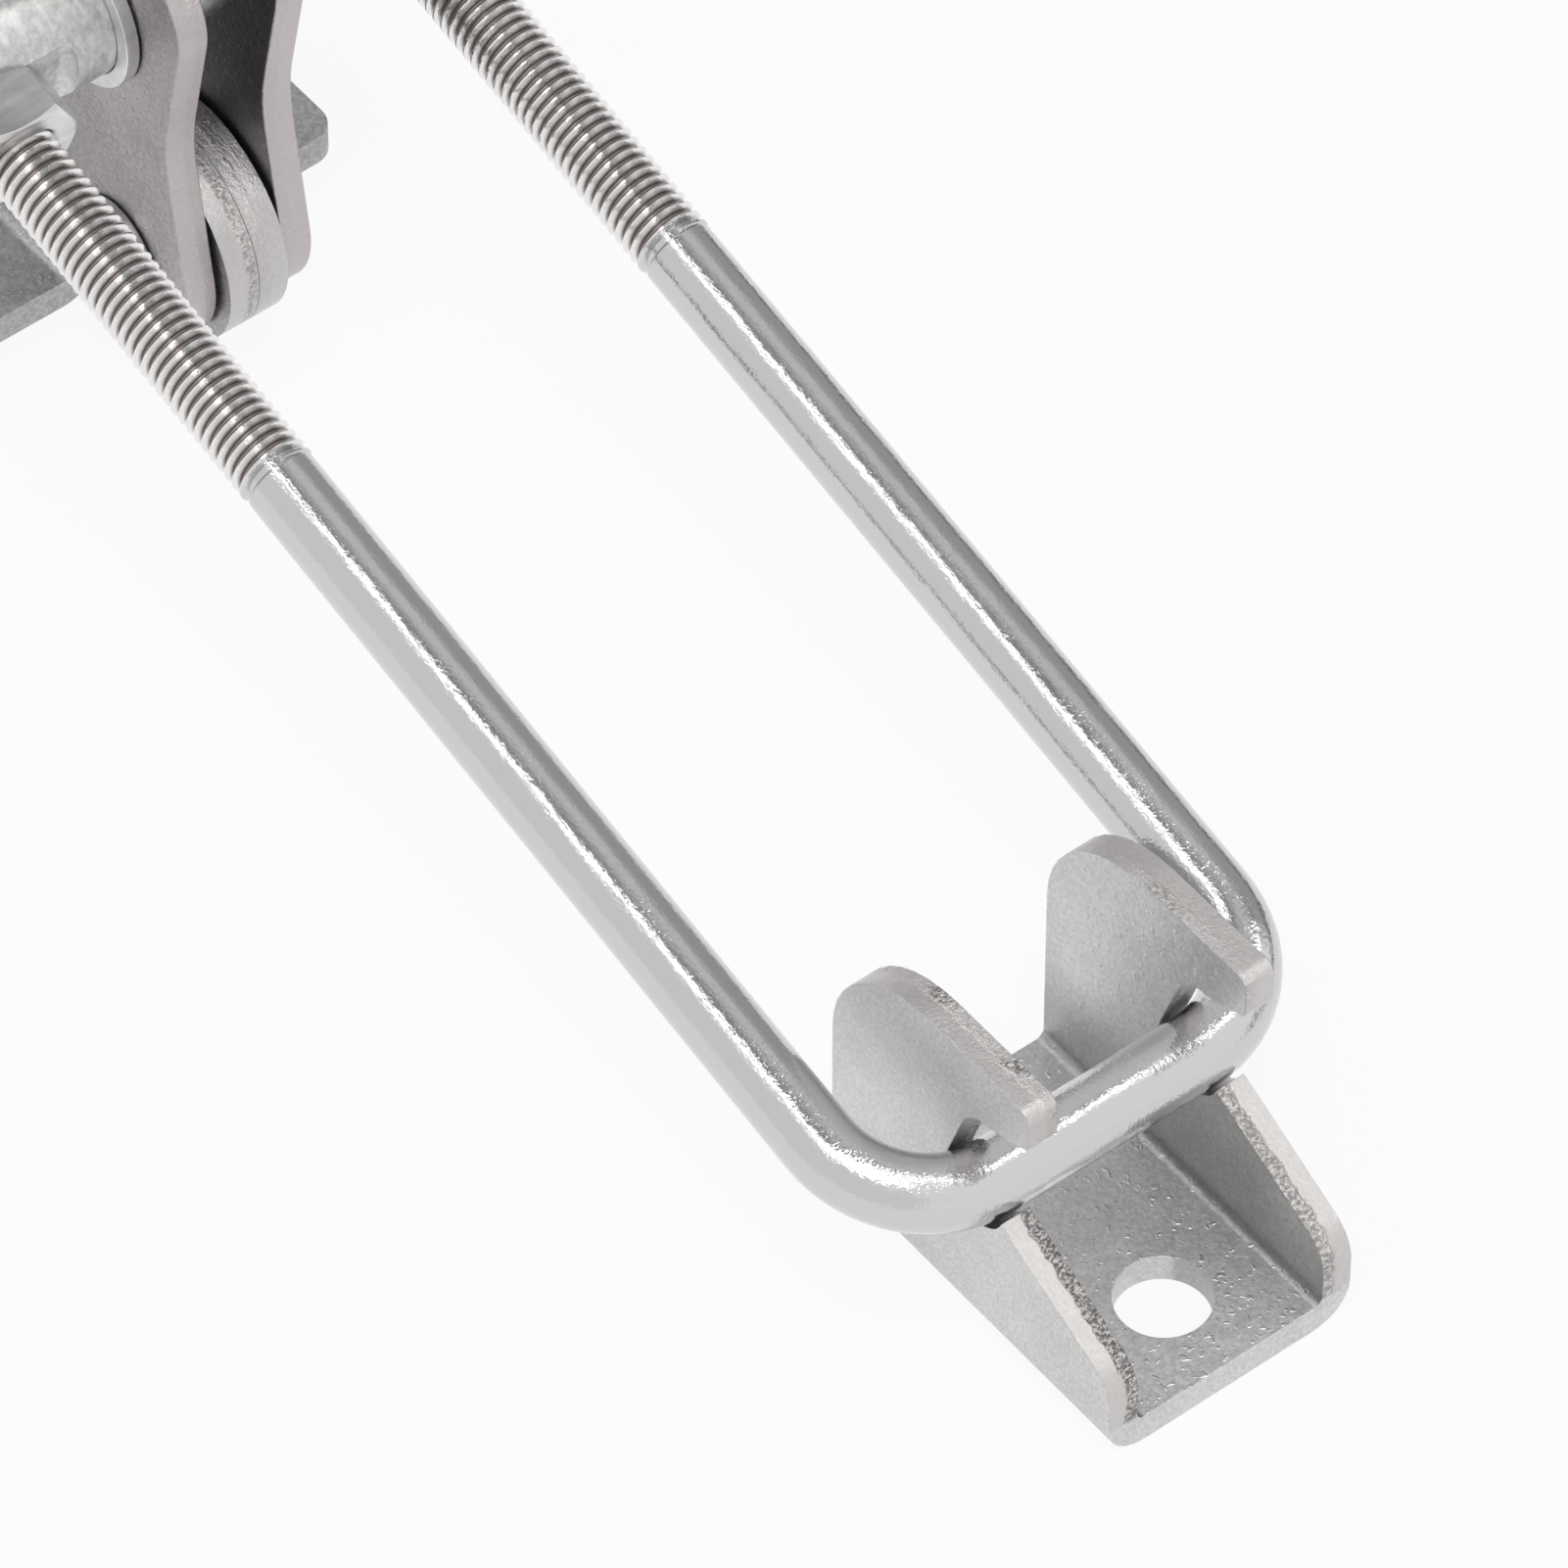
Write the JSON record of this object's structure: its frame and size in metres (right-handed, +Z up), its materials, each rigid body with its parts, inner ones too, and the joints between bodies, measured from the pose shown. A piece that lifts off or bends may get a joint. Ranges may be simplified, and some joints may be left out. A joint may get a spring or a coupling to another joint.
{
  "type": "toggle clamp",
  "caption": "Upright-handle latch toggle clamp with a threaded adjustable U-bolt that hooks over a separate catch plate.",
  "frame": {"origin": "middle of the base's four holes, on the mounting plane", "axes": "+X from the base to the catch, +Z up from the mounting plane"},
  "size_m": [0.2506, 0.064, 0.1639],
  "materials": {
    "satin_sheet": "satin tumbled stainless sheet",
    "bright_steel": "bright drawn and machined steel",
    "turned_steel": "pale satin turned steel",
    "vinyl": "satin dipped vinyl"
  },
  "bodies": {
    "base": {"base_left": "satin_sheet", "base_right": "satin_sheet", "web_rivet_front": "bright_steel", "web_rivet_rear": "bright_steel", "pivot_pin": "turned_steel"},
    "handle": {"handle_plate_left": "satin_sheet", "handle_plate_right": "satin_sheet", "handle_spacer": "satin_sheet", "handle_rivet_lower": "turned_steel", "handle_rivet_upper": "turned_steel", "grip": "vinyl"},
    "ubolt": {"trunnion_bar": "turned_steel", "trunnion_ring_left": "bright_steel", "trunnion_ring_right": "bright_steel", "u_bolt": "bright_steel", "nut_front_left": "bright_steel", "nut_front_right": "bright_steel", "nut_rear_left": "bright_steel", "nut_rear_right": "bright_steel", "catch_plate": "satin_sheet"}
  },
  "joints": [
    {"name": "handle_pivot", "type": "hinge", "parent": "base", "child": "handle", "pos_m": [0.0504, 0, 0.024], "axis": [0, -1, 0], "range_deg": [-15, 85]},
    {"name": "ubolt_swing", "type": "hinge", "parent": "handle", "child": "ubolt", "pos_m": [0.0461, 0, 0.05685], "axis": [0, -1, 0], "range_deg": [-74, 60]}
  ]
}
